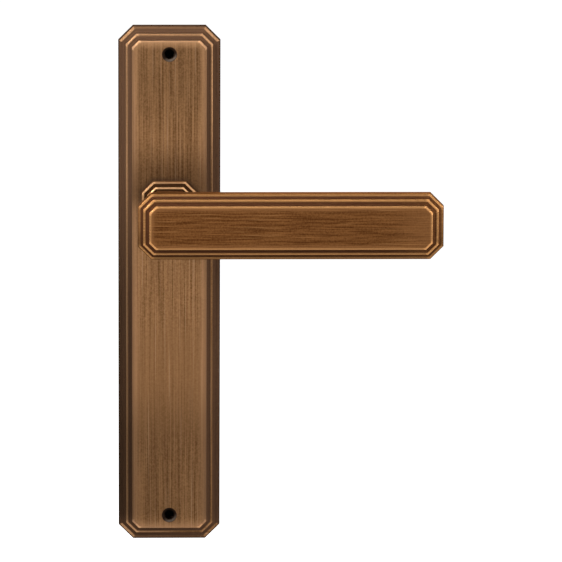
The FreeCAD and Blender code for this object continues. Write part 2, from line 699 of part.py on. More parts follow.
def drive_ring():
    """Steel ring on the journal's flats, with a stop lug and a spring tab."""
    body = new_body("drive_ring")
    disc = new_sketch(body, "ring_floor")
    circle(disc, f"2 * {RING_RADIUS}")
    pad(body, disc, "ring_thickness")
    lug = new_sketch(body, "ring_floor", turn=HALF_TURN)
    rectangle(lug, "-lug_width / 2", "lug_width / 2", ARM_START, LUG_REACH)
    pad(body, lug, "ring_thickness")
    near = f"({LEG_RADIUS} + seat_gap)"
    far = f"({near} + tab_width)"
    arm = new_sketch(body, "ring_floor", turn=HALF_TURN)
    rectangle(arm, near, far, f"-{TAB_REACH}", f"-{ARM_START}")
    pad(body, arm, "ring_thickness")
    tab = new_sketch(body, "ring_floor", turn=HALF_TURN)
    rectangle(tab, near, far, f"-{TAB_REACH}", f"-{TAB_START}")
    pad(body, tab, "tab_height - ring_floor")
    hub = new_sketch(body, "ring_floor")
    circle(hub, HUB_OUTSIDE)
    pad(body, hub, f"{HUB_TOP} - ring_floor")
    bore = new_sketch(body, HUB_TOP)
    double_flat(bore, "journal + 2 * seat_gap", f"{FLAT_WIDTH} + 2 * seat_gap")
    pocket(body, bore, HUB_TOP)
    return body


def wave_washer():
    body = new_body("wave_washer")
    ring(body, WAVE_LOW, f"{WAVE_LOW} + wave_thickness", "journal + 2 * running_gap",
         "journal + 2 * wave_band")
    return body


def circlip():
    """Open ring in the journal's groove, with an ear at each end."""
    body = new_body("circlip")
    clip_top = f"({CLIP_LOW} + clip_thickness)"
    ring(body, CLIP_LOW, clip_top, f"{CLIP_INSIDE} + 2 * seat_gap", CLIP_OUTSIDE)
    mouth = new_sketch(body, clip_top)
    rectangle(mouth, "-clip_mouth / 2", "clip_mouth / 2", f"-{CLIP_OUTSIDE}", "0")
    pocket(body, mouth, "clip_thickness")
    ear_y = f"-({CLIP_OUTSIDE} / 2 - clip_ear / 6)"
    for side in ("-", ""):
        ear_x = f"{side}(clip_mouth / 2 + clip_ear / 3)"
        ear = new_sketch(body, CLIP_LOW)
        circle(ear, "clip_ear", ear_x, ear_y)
        pad(body, ear, "clip_thickness")
        eye = new_sketch(body, clip_top)
        circle(eye, "clip_eye", ear_x, ear_y)
        pocket(body, eye, "clip_thickness")
    return body


# ---- build, check and write --------------------------------------------------

NODES = [
    backplate(),
    bearing_bush(),
    thrust_washer(),
    return_spring(),
    pins("stop_pins", STOPS, "stop_pin", "seat_gap", PIN_TOP),
    pins("anchor_pin", (ANCHOR,), "anchor_pin", f"({RING_TOP} + anchor_play)", PIN_TOP),
    cover_plate(),
    cover_screws(),
    lever_handle(),
    neck_collar(),
    spindle(),
    grub_screw(),
    drive_ring(),
    wave_washer(),
    circlip(),
]
doc.recompute()

for item in doc.Objects:
    if "Invalid" in item.State or "Error" in item.State:
        raise RuntimeError(f"{item.Label}: {item.State}")

os.makedirs("parts", exist_ok=True)
for node in NODES:
    if node.Shape.isNull() or not node.Shape.isValid():
        raise RuntimeError(f"{node.Label}: bad shape")
    node.Shape.exportStep(f"parts/{node.Label}.step")
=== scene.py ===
"""A sprung lever handle on a long backplate, dressed in brushed antique bronze."""
import math

import bmesh
import bpy
import numpy as np
from bpy.props import FloatProperty, FloatVectorProperty, PointerProperty
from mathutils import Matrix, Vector


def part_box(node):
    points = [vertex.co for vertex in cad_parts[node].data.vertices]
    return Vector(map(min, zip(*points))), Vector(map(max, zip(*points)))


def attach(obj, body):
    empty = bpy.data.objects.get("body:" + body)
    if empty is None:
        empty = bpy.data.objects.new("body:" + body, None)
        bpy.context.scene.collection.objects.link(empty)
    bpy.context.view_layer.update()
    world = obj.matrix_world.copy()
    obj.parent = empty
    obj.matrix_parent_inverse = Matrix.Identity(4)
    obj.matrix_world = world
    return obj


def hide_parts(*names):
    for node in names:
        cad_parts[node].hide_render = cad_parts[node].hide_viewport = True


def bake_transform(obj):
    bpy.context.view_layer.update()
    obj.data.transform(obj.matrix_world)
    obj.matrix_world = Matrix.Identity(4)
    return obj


bl_info = {
    "name": "Bronze Lever Handle",
    "version": (1, 0, 0),
    "blender": (4, 5, 0),
    "location": "View3D > Sidebar > Lever Handle",
    "description": "Dresses a lever handle and its backplate in antique bronze",
    "category": "Object",
}

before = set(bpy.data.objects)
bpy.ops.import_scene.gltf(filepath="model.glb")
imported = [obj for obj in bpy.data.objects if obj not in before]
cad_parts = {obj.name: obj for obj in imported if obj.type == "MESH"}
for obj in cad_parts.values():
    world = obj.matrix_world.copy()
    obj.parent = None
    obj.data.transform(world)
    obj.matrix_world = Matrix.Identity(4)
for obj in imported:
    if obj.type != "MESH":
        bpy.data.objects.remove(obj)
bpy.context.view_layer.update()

MM = 0.001
PLATE_LOW, PLATE_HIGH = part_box("backplate")
BAR_LOW, BAR_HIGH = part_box("lever_handle")
COLLAR_LOW, COLLAR_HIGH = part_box("neck_collar")


# ---- node helpers ------------------------------------------------------------

class Graph:
    """Adds nodes to a tree. An input may be a number, a colour or another socket."""

    def __init__(self, tree):
        self.tree = tree

    def put(self, socket, value):
        if isinstance(value, bpy.types.NodeSocket):
            self.tree.links.new(value, socket)
        else:
            socket.default_value = value

    def node(self, kind, inputs=None, **settings):
        made = self.tree.nodes.new(kind)
        for name, value in settings.items():
            setattr(made, name, value)
        for name, value in (inputs or {}).items():
            self.put(made.inputs[name], value)
        return made

    def math(self, operation, *values, clamp=False):
        made = self.node("ShaderNodeMath", operation=operation, use_clamp=clamp)
        for socket, value in zip(made.inputs, values):
            self.put(socket, value)
        return made.outputs[0]

    def times(self, first, *others):
        """Product of two or more values."""
        for other in others:
            first = self.math("MULTIPLY", first, other)
        return first

    def plus(self, first, second, clamp=False):
        return self.math("ADD", first, second, clamp=clamp)

    def minus(self, first, second):
        return self.math("SUBTRACT", first, second)

    def rest(self, value):
        """One less a value."""
        return self.math("SUBTRACT", 1.0, value)

    def larger(self, first, second):
        return self.math("MAXIMUM", first, second)

    def smaller(self, first, second):
        return self.math("MINIMUM", first, second)

    def size(self, value):
        """A value without its sign."""
        return self.math("ABSOLUTE", value)

    def vector(self, operation, *values):
        made = self.node("ShaderNodeVectorMath", operation=operation)
        for socket, value in zip(made.inputs, values):
            self.put(socket, value)
        return made.outputs["Value" if operation == "LENGTH" else "Vector"]

    def join(self, x, y, z):
        return self.node("ShaderNodeCombineXYZ", {"X": x, "Y": y, "Z": z}).outputs[0]

    def split(self, vector):
        made = self.node("ShaderNodeSeparateXYZ", {0: vector})
        return made.outputs[0], made.outputs[1], made.outputs[2]

    def place(self):
        """Where a spot lies on its object, in millimetres."""
        spot = self.node("ShaderNodeTexCoord").outputs["Object"]
        return self.vector("MULTIPLY", spot, (1 / MM, 1 / MM, 1 / MM))

    def ease(self, value, low, high, out_low=0.0, out_high=1.0):
        """Smooth step of a value between two limits."""
        made = self.node("ShaderNodeMapRange", {
            "Value": value, "From Min": low, "From Max": high,
            "To Min": out_low, "To Max": out_high}, interpolation_type="SMOOTHSTEP")
        return made.outputs["Result"]

    def blend(self, factor, first, second, kind="MIX"):
        """Mix of two colours."""
        made = self.node("ShaderNodeMix", data_type="RGBA", blend_type=kind)
        self.put(made.inputs["Factor"], factor)
        self.put(made.inputs[6], first)
        self.put(made.inputs[7], second)
        return made.outputs[2]

    def noise(self, vector, scale=1.0, detail=2.0, rough=0.5, warp=0.0):
        made = self.node("ShaderNodeTexNoise", {
            "Vector": vector, "Scale": scale, "Detail": detail,
            "Roughness": rough, "Distortion": warp})
        return made.outputs["Fac"]

    def bump(self, relief, strength, depth):
        """Normal of a relief whose depth is in millimetres."""
        made = self.node("ShaderNodeBump", {
            "Strength": strength, "Distance": depth * MM, "Height": relief})
        return made.outputs[0]


def new_group(name, inputs, outputs):
    """A shader node group; the first word of each socket's tuple is its kind."""
    tree = bpy.data.node_groups.new(name, "ShaderNodeTree")
    for kind, label, default in inputs:
        socket = tree.interface.new_socket(label, in_out="INPUT", socket_type=f"NodeSocket{kind}")
        socket.default_value = default
    for kind, label in outputs:
        tree.interface.new_socket(label, in_out="OUTPUT", socket_type=f"NodeSocket{kind}")
    graph = Graph(tree)
    return graph, graph.node("NodeGroupInput").outputs, graph.node("NodeGroupOutput").inputs


def use_group(graph, name, **values):
    made = graph.node("ShaderNodeGroup", node_tree=bpy.data.node_groups[name])
    for label, value in values.items():
        graph.put(made.inputs[label.replace("_", " ")], value)
    return made.outputs


# How the moulding is read, in millimetres but for the two shares of a width.
STEP_SLACK = 0.05  # a flat is counted from this much before its edge
MITRE_BAND = (0.2, 1.0)  # from a mitre, over which its brightness ends
FRONT_BAND = (-1.4, -0.4)  # from the rim's height, over which the sides end
CREST_CORE = 0.55  # share of a crest's width that is worn in full
RIM_CORE = 0.3  # share of the rim's width that is dark in full
GLOW_START = 0.3
BORDER_WIDTH = 2.2


def moulding_group():
    """Reads a stepped, cut-corner moulding from the place of a point on it.
    Inset is the distance in from the octagonal outline, height the distance from
    the door face. Each step has a crest, the first millimetre or so of its flat,
    and a recess, the cove behind it. Rim is the outermost round with the sides,
    Edge the panel's own crest, and Border and Glow fade further into the panel.
    Corner is one on the cut corners and at their mitres, Ends above and below
    rather than beside, Front before the sides, and Panel on the inner field.
    Behind the rim only Rim is left."""
    masks = ("Inset", "Rim", "Crest", "Recess", "Edge", "Glow", "Border", "Corner",
             "Ends", "Front", "Panel")
    graph, given, out = new_group("octagon_moulding", (
        ("Vector", "Centre", (0, 0, 0)),
        ("Float", "Half Width", 25.0),
        ("Float", "Half Height", 128.0),
        ("Float", "Cut", 7.0),
        ("Vector", "Insets", (0, 3.7, 6.7)),
        ("Float", "Rim Height", 3.2),
        ("Float", "Rim Width", 0.6),
        ("Vector", "Crest Width", (1.2, 1.3, 1.2)),
        ("Vector", "Crest Gain", (1, 1, 1)),
        ("Float", "Glow Width", 5.5),
    ), [("Vector", "Place")] + [("Float", label) for label in masks])
    x, y, z = graph.split(graph.vector("SUBTRACT", graph.place(), given["Centre"]))
    side = graph.minus(given["Half Width"], graph.size(x))
    end = graph.minus(given["Half Height"], graph.size(z))
    corner = graph.math("DIVIDE", graph.minus(graph.plus(side, end), given["Cut"]),
                        math.sqrt(2))
    square = graph.smaller(side, end)
    inset = graph.smaller(square, corner)
    slant = graph.math("LESS_THAN", corner, square)
    mitre = graph.ease(graph.size(graph.minus(corner, square)), *MITRE_BAND, 1.0, 0.0)
    height = graph.times(y, -1.0)
    _, second, third = graph.split(given["Insets"])
    rim_crest, step_crest, panel_crest = graph.split(given["Crest Width"])
    front = graph.ease(graph.minus(height, given["Rim Height"]), *FRONT_BAND)
    past_step = graph.math("GREATER_THAN", inset, graph.minus(second, STEP_SLACK))
    past_edge = graph.math("GREATER_THAN", inset, graph.minus(third, STEP_SLACK))
    on_rim = graph.rest(past_step)
    on_step = graph.minus(past_step, past_edge)

    def crest(start, width):
        """One on the first part of a flat, nought past it."""
        return graph.ease(graph.minus(inset, start), graph.times(width, CREST_CORE), width,
                          1.0, 0.0)

    rim = graph.ease(inset, graph.times(given["Rim Width"], RIM_CORE), given["Rim Width"],
                     1.0, 0.0)
    side_gain, end_gain, step_gain = graph.split(given["Crest Gain"])
    at_end = graph.math("LESS_THAN", end, side)
    rim_gain = graph.node("ShaderNodeMix", {"Factor": at_end, "A": side_gain, "B": end_gain})
    rim_gain = graph.larger(slant, rim_gain.outputs[0])
    outer = graph.times(crest(given["Rim Width"], rim_crest), rim_gain)
    inner = graph.times(crest(second, step_crest), step_gain)
    panel = graph.times(past_edge, front)
    framed = graph.minus(front, panel)
    within = graph.minus(inset, third)

    def steps(on_first, on_second):
        return graph.times(framed, graph.plus(
            graph.times(on_rim, on_first), graph.times(on_step, on_second)))

    out_values = {
        "Place": graph.join(x, y, z),
        "Inset": inset,
        "Rim": graph.larger(rim, graph.rest(front)),
        "Crest": steps(graph.times(outer, graph.rest(rim)), inner),
        "Recess": steps(graph.rest(outer), graph.rest(inner)),
        "Edge": graph.times(panel, crest(third, panel_crest)),
        "Glow": graph.times(panel, graph.ease(
            within, GLOW_START, given["Glow Width"], 1.0, 0.0)),
        "Border": graph.times(panel, graph.ease(within, 0.0, BORDER_WIDTH, 1.0, 0.0)),
        "Corner": graph.larger(slant, mitre),
        "Ends": at_end,
        "Front": front,
        "Panel": panel,
    }
    for label, value in out_values.items():
        graph.put(out[label], value)


HAIR_WIDTH = 0.45  # a fine stroke, as shares of a broad one
HAIR_LENGTH = 0.4
SCRATCH_RANGE = (0.66, 0.74)  # of the noise, past which a hairline is a scratch


def brushing_group():
    """Strokes of an abrasive brush: noise that is long along the strokes and short
    across them. Scratch is one on the few deepest hairlines. Turn swaps the
    strokes' direction from Z to X."""
    graph, given, out = new_group("brushed_strokes", (
        ("Vector", "Place", (0, 0, 0)),
        ("Float", "Turn", 0.0),
        ("Float", "Width", 1.6),
        ("Float", "Length", 60.0),
    ), (("Float", "Broad"), ("Float", "Fine"), ("Float", "Scratch"), ("Float", "Grain")))
    x, y, z = graph.split(given["Place"])
    swap = graph.node("ShaderNodeMix", {"Factor": given["Turn"]}, data_type="VECTOR")
    graph.put(swap.inputs[4], graph.join(x, z, y))
    graph.put(swap.inputs[5], graph.join(z, x, y))
    across, along, depth = graph.split(swap.outputs[1])

    def strokes(width, length, detail, warp=0.0):
        vector = graph.join(
            graph.math("DIVIDE", across, width), graph.math("DIVIDE", along, length),
            graph.math("DIVIDE", depth, width))
        return graph.noise(vector, detail=detail, warp=warp)

    hair = graph.times(given["Width"], HAIR_WIDTH)
    hair_length = graph.times(given["Length"], HAIR_LENGTH)
    scratch = strokes(hair, given["Length"], 1.0, 0.1)
    graph.put(out["Broad"], strokes(given["Width"], given["Length"], 2.0, 0.4))
    graph.put(out["Fine"], strokes(hair, hair_length, 3.0))
    graph.put(out["Scratch"], graph.ease(scratch, *SCRATCH_RANGE))
    graph.put(out["Grain"], graph.noise(given["Place"], scale=1.1, detail=4.0, rough=0.65))


# ---- finishes ----------------------------------------------------------------

BRONZE_TINT = (0.5, 0.4, 0.32, 1)
STEEL_TINT = (0.5, 0.5, 0.5, 1)
SUNK_SHADE = (0.022, 0.013, 0.008, 1)  # painted shade in a screw hole's countersink
LIT_WALL_BRONZE = (0.115, 0.086, 0.066, 1)  # painted light on the countersink's low side

# Ranges of the brush's noise, and places in millimetres.
BROAD_RANGE = (0.3, 0.7)
FINE_RANGE = (0.33, 0.64)
UNEVEN_RANGE = (0.25, 0.75)
HAND_POLISH = 0.6  # how far the hand has polished the bar's panel
HAND_RECESS = 0.6  # how much oxide it has left in the bar's coves
LOWER_END_BAND = 9.0  # up from the lower moulding's edge
LOWER_END_TONE = 0.2  # share of the painted shade that the lower moulding takes
FLANKS = (-8.0, 8.0)  # along X, from the left mouldings to the right ones
LEFT_SHADE, RIGHT_SHADE = 1.7, 0.1  # how far each is painted darker, as shares of the flank shade
LEFT_RELIEF, RIGHT_RELIEF = 1.3, 2.0  # how far each is spared the painted shade toward the lower end
RIGHT_LIFT, PANEL_LIFT = 0.6, 0.45  # how much of the lower end's painted shade the right takes back, as painted light
OUTER_FLAT = (0.9, 2.2)  # in from the bar's outline
FOOT_BAND = (-2.6, -0.2)  # out from the collar, the band of a painted contact shadow
FOOT_SHADOW = 0.6
FOOT_REACH = -22.0  # out from the collar, where painted shade on the panel above it starts
ABOVE_FOOT = (36.0, 46.0)  # from the plate's middle, on either side of the spindle axis
HOLE_OXIDE = (3.55, 3.85)  # radii round a screw hole
HOLE_SUNK = (3.35, 3.8)
HOLE_WALL = (2.4, 2.7)
HOLE_LOW = (-3.4, -0.4)  # heights of the countersink's side that is painted lighter
HOLE_SLOPE = 0.5  # of the line that ends it


def new_finish(name):
    """A material with an empty Principled shader, and its graph."""
    finish = bpy.data.materials.new(name)
    finish.use_nodes = True
    graph = Graph(finish.node_tree)
    shader = finish.node_tree.nodes["Principled BSDF"]
    return finish, graph, shader


def opaque(colour, share=1.0):
    """A share of a colour, as a shader takes it."""
    return tuple(channel * share for channel in colour) + (1,)


def streaks(graph, brush, z, look, calm_heights):
    """How light the brush has left each spot: half from the broad strokes, half from
    the fine ones, and a cloudiness. Between the middle two of four heights the
    strokes are polished away."""
    broad = graph.times(graph.ease(brush["Broad"], *BROAD_RANGE), 0.5)
    fine = graph.times(graph.ease(brush["Fine"], *FINE_RANGE), 0.5)
    cloud = graph.times(graph.minus(brush["Grain"], 0.5), look.mottle)
    streak = graph.plus(graph.plus(broad, fine), cloud, clamp=True)
    if calm_heights:
        first, second, third, last = calm_heights
        calm = graph.times(graph.ease(z, last, third), graph.ease(z, first, second))
        streak = graph.minus(streak, graph.times(
            graph.minus(streak, 0.5), graph.times(calm, look.calm)))
    return streak


def lower_part(graph, z, look, tones):
    """Painted shade toward a piece's lower end: how much darker its colour is made there, and a
    mask that is one above the lower moulding and small on it, so that the moulding stays
    brighter."""
    start, stop = tones["lower"]
    lower = graph.times(graph.ease(z, stop, start, 1.0, 0.0), look.fade)
    above_end = 1.0
    if "lower_end" in tones:
        end = tones["lower_end"]
        above_end = graph.ease(z, end, end + LOWER_END_BAND, LOWER_END_TONE, 1.0)
        lower = graph.times(lower, above_end)
    return lower, above_end


def screw_holes(graph, place, holes):
    """Masks of the screw holes: the oxide round each, its countersink, painted dark as shade, and
    the low side of the countersink's wall, painted lighter as if lit, where the height less half
    the distance to the right is small."""
    oxide = countersink_shading = lit_wall = 0.0
    for hole_x, hole_z in holes:
        centre = graph.vector("SUBTRACT", place, (hole_x, 0.0, hole_z))
        reach = graph.vector("LENGTH", graph.vector("MULTIPLY", centre, (1.0, 0.0, 1.0)))
        across, _, up = graph.split(centre)
        low = graph.ease(graph.minus(up, graph.times(across, HOLE_SLOPE)), *HOLE_LOW, 1.0, 0.0)
        near = graph.ease(reach, *HOLE_SUNK, 1.0, 0.0)
        wall = graph.times(near, graph.ease(reach, *HOLE_WALL))
        oxide = graph.larger(oxide, graph.ease(reach, *HOLE_OXIDE, 1.0, 0.0))
        countersink_shading = graph.larger(countersink_shading, near)
        lit_wall = graph.larger(lit_wall, graph.times(low, wall))
    return oxide, countersink_shading, lit_wall


def flanks(graph, shape, lower, above_end, look, heights):
    """Painted shade and light on the side mouldings: a mask of the right one below the given
    heights, the share by which both are painted darker there, the left one more and the right one
    mostly on its crest, and the share by which the right one is painted lighter toward the lower
    end."""
    start, stop = heights
    x, _, z = graph.split(shape["Place"])
    right = graph.times(graph.ease(x, *FLANKS), graph.ease(z, stop, start, 1.0, 0.0))
    spared = graph.times(lower, graph.ease(x, *FLANKS, LEFT_RELIEF, RIGHT_RELIEF))
    darker = graph.times(
        graph.rest(shape["Panel"]), graph.ease(z, stop, start, look.flank_shade, 0.0),
        graph.ease(x, *FLANKS, LEFT_SHADE, RIGHT_SHADE), above_end, graph.rest(spared))
    # Painted shade over the lower right crest, darkening its highlight.
    darker = graph.larger(darker, graph.times(right, shape["Crest"], look.crest_shade))
    lighter = graph.times(lower, right, graph.minus(
        RIGHT_LIFT, graph.times(shape["Panel"], PANEL_LIFT)))
    return right, darker, lighter


def bronze(name, look, moulding, turn, tones, holes=(), grip=None, foot=None):
    """Brushed bronze over dark patina. The patina stays in the coves, and the edges,
    rubbed oftenest, are brightest. Turn lays the strokes along X. Tones gives the
    heights between which painted shade darkens the colour, holes the screw holes'
    middles, grip the two places along X between which the hand has polished the bar,
    and foot the moulding of a piece that stands on the face, round which a painted
    contact shadow and painted shade are laid."""
    finish, graph, shader = new_finish(name)
    dark, light, glow, oxide, bare = (opaque(colour) for colour in (
        look.dark, look.light, look.glow, look.patina, look.wear))
    shape = use_group(graph, "octagon_moulding", **moulding)
    x, _, z = graph.split(shape["Place"])
    turned = 1.0 if turn else graph.times(
        shape["Ends"], graph.minus(shape["Front"], shape["Panel"]))
    brush = use_group(graph, "brushed_strokes", Place=shape["Place"], Turn=turned,
                      Width=look.stroke_width, Length=look.stroke_length)
    streak = streaks(graph, brush, z, look, tones.get("calm"))
    uneven = graph.ease(brush["Grain"], *UNEVEN_RANGE, 0.8, 1.0)
    # Painted shade: the colour is made darker toward the lower end. Upper is the share that is
    # left, and it also dims the panel edge's wear.
    lower, above_end = lower_part(graph, z, look, tones)
    upper = graph.rest(lower)

    rubbed, recess = shape["Glow"], shape["Recess"]
    if grip:
        rubbed = graph.larger(rubbed, graph.times(
            graph.ease(x, *grip, 0.0, HAND_POLISH), shape["Panel"]))
        recess = graph.times(recess, graph.ease(x, *grip, 1.0, HAND_RECESS))
    polish = graph.times(rubbed, look.glow_depth)
    edge = graph.times(shape["Edge"], look.edge_depth, upper)
    # Patina in the coves. On the sides and outer rim the dark is partly patina and partly a
    # painted dark reflection.
    patina = graph.times(uneven, graph.larger(recess, graph.times(
        shape["Rim"], look.rim_depth)))
    # On a turned piece the painted shade toward the lower end falls on its mouldings and outer
    # flat and dims its polish. On the plate it falls everywhere.
    if turn:
        polish = graph.times(polish, upper)
        framed = graph.plus(graph.rest(shape["Panel"]),
                            graph.ease(shape["Inset"], *OUTER_FLAT, 2.0, 0.0))
        tone = graph.rest(graph.times(lower, framed))
    else:
        edge = graph.times(edge, graph.larger(shape["Ends"], shape["Corner"]))
        patina = graph.larger(patina, graph.times(
            shape["Border"], look.border_depth, graph.rest(shape["Ends"])))
        tone = upper
    crest = graph.times(shape["Crest"], look.wear_depth)
    worn = graph.times(graph.larger(crest, edge), uneven)
    # Painted shade on the plate's lower side mouldings, deeper on the left. Painted light keeps
    # the lower right one lighter, and its crest loses its wear.
    if "shaded_flanks" in tones:
        right, darker, lighter = flanks(graph, shape, lower, above_end, look,
                                        tones["shaded_flanks"])
        worn = graph.times(worn, graph.rest(right))
        tone = graph.times(graph.plus(tone, lighter), graph.rest(darker))
    # Round the collar: a painted contact shadow at its foot, and painted shade on the panel above
    # it.
    if foot:
        outside = use_group(graph, "octagon_moulding", **foot)["Inset"]
        patina = graph.larger(patina, graph.ease(outside, *FOOT_BAND, 0.0, FOOT_SHADOW))
        tone = graph.times(tone, graph.rest(graph.times(
            shape["Panel"], graph.ease(z, *ABOVE_FOOT),
            graph.ease(outside, FOOT_REACH, 0.0, 0.0, look.foot_shade))))
    # Painted shade at the panel's upper end.
    if "upper" in tones:
        tone = graph.times(tone, graph.rest(graph.times(
            graph.minus(shape["Panel"], rubbed),
            graph.ease(z, *tones["upper"], 0.0, look.upper_shade))))
    if holes:
        hole_oxide, countersink_shading, lit_wall = screw_holes(graph, shape["Place"], holes)
        patina = graph.larger(patina, hole_oxide)

    face = graph.blend(streak, dark, light)
    face = graph.blend(graph.times(brush["Scratch"], look.scratch_depth), face, bare)
    face = graph.blend(polish, face, glow)
    face = graph.blend(graph.times(patina, look.patina_depth), face, oxide)
    face = graph.blend(worn, face, bare)
    # A countersink is painted dark as shade, and its low side is painted lighter as if lit from
    # above.
    if holes:
        face = graph.blend(countersink_shading, face, graph.blend(lit_wall, SUNK_SHADE, LIT_WALL_BRONZE))
    # Painted dark reflection: the sides and outer rim are made darker.
    tone = graph.times(tone, graph.rest(graph.times(shape["Rim"], look.rim_tone)))
    # Painted highlight on the crests and edges at the cut corners.
    shine = graph.times(shape["Corner"], graph.larger(shape["Crest"], shape["Edge"]))
    tone = graph.times(tone, graph.plus(1.0, graph.times(shine, look.corner_highlight)))
    face = graph.blend(1.0, face, graph.join(tone, tone, tone), "MULTIPLY")

    graph.put(shader.inputs["Base Color"], face)
    graph.put(shader.inputs["Metallic"], graph.ease(patina, 0.0, 1.0, look.metal, 0.15))
    rough = graph.ease(graph.plus(patina, graph.times(streak, 0.3)), 0.0, 1.3, 0.38, 0.6)
    graph.put(shader.inputs["Roughness"], graph.minus(rough, graph.times(worn, 0.2)))
    relief = graph.plus(brush["Fine"], graph.times(brush["Grain"], 0.4))
    graph.put(shader.inputs["Normal"], graph.bump(relief, 0.4, 0.05))
    shader.inputs["Specular IOR Level"].default_value = 0.0
    shader.inputs["Specular Tint"].default_value = BRONZE_TINT
    return finish


def plain_metal(name, colour, roughness, mottle):
    """Plated or oiled steel, with a faint cloudiness in colour and gloss. Pieces
    that ask for the same name share one finish."""
    if name in bpy.data.materials:
        return bpy.data.materials[name]
    finish, graph, shader = new_finish(name)
    spot = graph.place()
    cloud = graph.noise(spot, scale=0.5, detail=5.0, rough=0.6)
    speck = graph.noise(spot, scale=4.0, detail=3.0)
    graph.put(shader.inputs["Base Color"], graph.blend(
        graph.ease(cloud, 0.3, 0.7), opaque(colour, 1 - mottle), opaque(colour)))
    graph.put(shader.inputs["Roughness"], graph.ease(
        speck, 0.2, 0.8, roughness * 0.85, roughness * 1.2))
    graph.put(shader.inputs["Normal"], graph.bump(speck, 0.2, 0.02))
    shader.inputs["Metallic"].default_value = 1.0
    shader.inputs["Specular Tint"].default_value = STEEL_TINT
    return finish


def zinc_plate():
    return plain_metal("zinc_plate_finish", (0.47, 0.48, 0.50), 0.5, 0.18)


def spring_steel():
    return plain_metal("spring_steel_finish", (0.30, 0.31, 0.33), 0.3, 0.3)


def black_oxide():
    return plain_metal("black_oxide_finish", (0.035, 0.035, 0.04), 0.42, 0.3)


def as_cast(name, colour):
    """Skin of a casting: blotchy plating over fine grain, with shallow pits."""
    finish, graph, shader = new_finish(name)
    spot = graph.place()
    blotch = graph.noise(spot, scale=0.11, detail=4.0, rough=0.6, warp=0.6)
    grain = graph.noise(spot, scale=2.2, detail=5.0, rough=0.7)
    pits = graph.ease(graph.noise(spot, scale=1.3, detail=1.0), 0.64, 0.72)
    dark = opaque(colour, 0.55)
    skin = graph.blend(graph.ease(blotch, 0.32, 0.68), dark, opaque(colour))
    skin = graph.blend(graph.times(graph.ease(grain, 0.3, 0.7), 0.35), skin, dark)
    graph.put(shader.inputs["Base Color"], graph.blend(pits, skin, dark))
    graph.put(shader.inputs["Roughness"], graph.ease(blotch, 0.3, 0.7, 0.68, 0.55))
    relief = graph.minus(grain, graph.times(pits, 0.8))
    graph.put(shader.inputs["Normal"], graph.bump(relief, 0.6, 0.12))
    shader.inputs["Metallic"].default_value = 0.35
    shader.inputs["Specular Tint"].default_value = BRONZE_TINT
    return finish


def acetal():
    """Black moulded plastic, faintly uneven."""
    finish, graph, shader = new_finish("moulded_acetal")
    cloud = graph.noise(graph.place(), scale=0.3, detail=4.0)
    graph.put(shader.inputs["Base Color"], graph.blend(
        graph.ease(cloud, 0.3, 0.7), (0.022, 0.022, 0.023, 1), (0.034, 0.034, 0.035, 1)))
    graph.put(shader.inputs["Roughness"], graph.ease(cloud, 0.2, 0.8, 0.38, 0.5))
    return finish


def dress(node, finish):
    """Give a CAD node a finish in all its material slots."""
    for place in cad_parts[node].material_slots:
        place.material = finish


# ---- surfaces ------------------------------------------------------------------

def new_object(name, data):
    """An object in the scene, unturned and unscaled at the origin."""
    made = bpy.data.objects.new(name, data)
    bpy.context.scene.collection.objects.link(made)
    return made


def smooth_shell(node, body, finish, sharp=17.0):
    """Stand in for a CAD node with the same shell, its loose triangles joined and
    its rounds shaded smooth. Folds above the sharp angle, in degrees, stay crisp and
    each flat keeps its own normal. Returns the object and its faces' centres, in
    millimetres, and normals."""
    shell = bmesh.new()
    shell.from_mesh(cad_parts[node].data)
    bmesh.ops.remove_doubles(shell, verts=shell.verts, dist=1e-6)
    mesh = bpy.data.meshes.new(f"{node}_shell")
    shell.to_mesh(mesh)
    shell.free()
    mesh.shade_smooth()
    mesh.set_sharp_from_angle(angle=math.radians(sharp))
    mesh.materials.clear()
    mesh.materials.append(finish)
    piece = new_object(f"{node}_shell", mesh)
    weigh = piece.modifiers.new("flat_normals", "WEIGHTED_NORMAL")
    weigh.keep_sharp = True
    weigh.weight = 100
    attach(piece, body)
    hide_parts(node)
    centres, normals = np.empty((2, len(mesh.polygons), 3))
    mesh.polygons.foreach_get("center", centres.ravel())
    mesh.polygons.foreach_get("normal", normals.ravel())
    return piece, centres / MM, normals


def grid_faces(rows, columns, closed, first):
    """Quads between the rows of a grid. A closed grid's last column joins its first."""
    across = columns if closed else columns - 1
    row, column = np.meshgrid(np.arange(rows - 1), np.arange(across), indexing="ij")
    after = (column + 1) % columns
    corners = (row * columns + column, row * columns + after,
               (row + 1) * columns + after, (row + 1) * columns + column)
    return np.stack(corners, axis=-1).reshape(-1, 4) + first


def new_piece(name, finish, grids, sharp=35.0):
    """One object of closed surfaces. Each grid is an array of rows by columns by
    place, in millimetres, and whether its last column joins its first; a row whose
    points coincide closes a pole. Doubles are merged and faces turned outwards."""
    points, faces, count = [], [], 0
    for grid, closed in grids:
        rows, columns = grid.shape[:2]
        faces.append(grid_faces(rows, columns, closed, count))
        points.append(grid.reshape(-1, 3))
        count += rows * columns
    mesh = bpy.data.meshes.new(name)
    mesh.from_pydata(np.concatenate(points) * MM, [], np.concatenate(faces).tolist())
    shell = bmesh.new()
    shell.from_mesh(mesh)
    bmesh.ops.remove_doubles(shell, verts=shell.verts, dist=1e-7)
    bmesh.ops.recalc_face_normals(shell, faces=shell.faces)
    shell.to_mesh(mesh)
    shell.free()
    mesh.shade_smooth()
    mesh.set_sharp_from_angle(angle=math.radians(sharp))
    mesh.materials.append(finish)
    piece = new_object(name, mesh)
    return piece


def around_axis(u, depth, v, turn):
    """Places from a flat drawing in u and v and a depth, counted from the door face
    towards the room: u and v turn about the depth axis and become X and Z, and the
    depth counts against Y."""
    return np.stack((u * math.cos(turn) - v * math.sin(turn), -depth,
                     u * math.sin(turn) + v * math.cos(turn)), axis=-1)


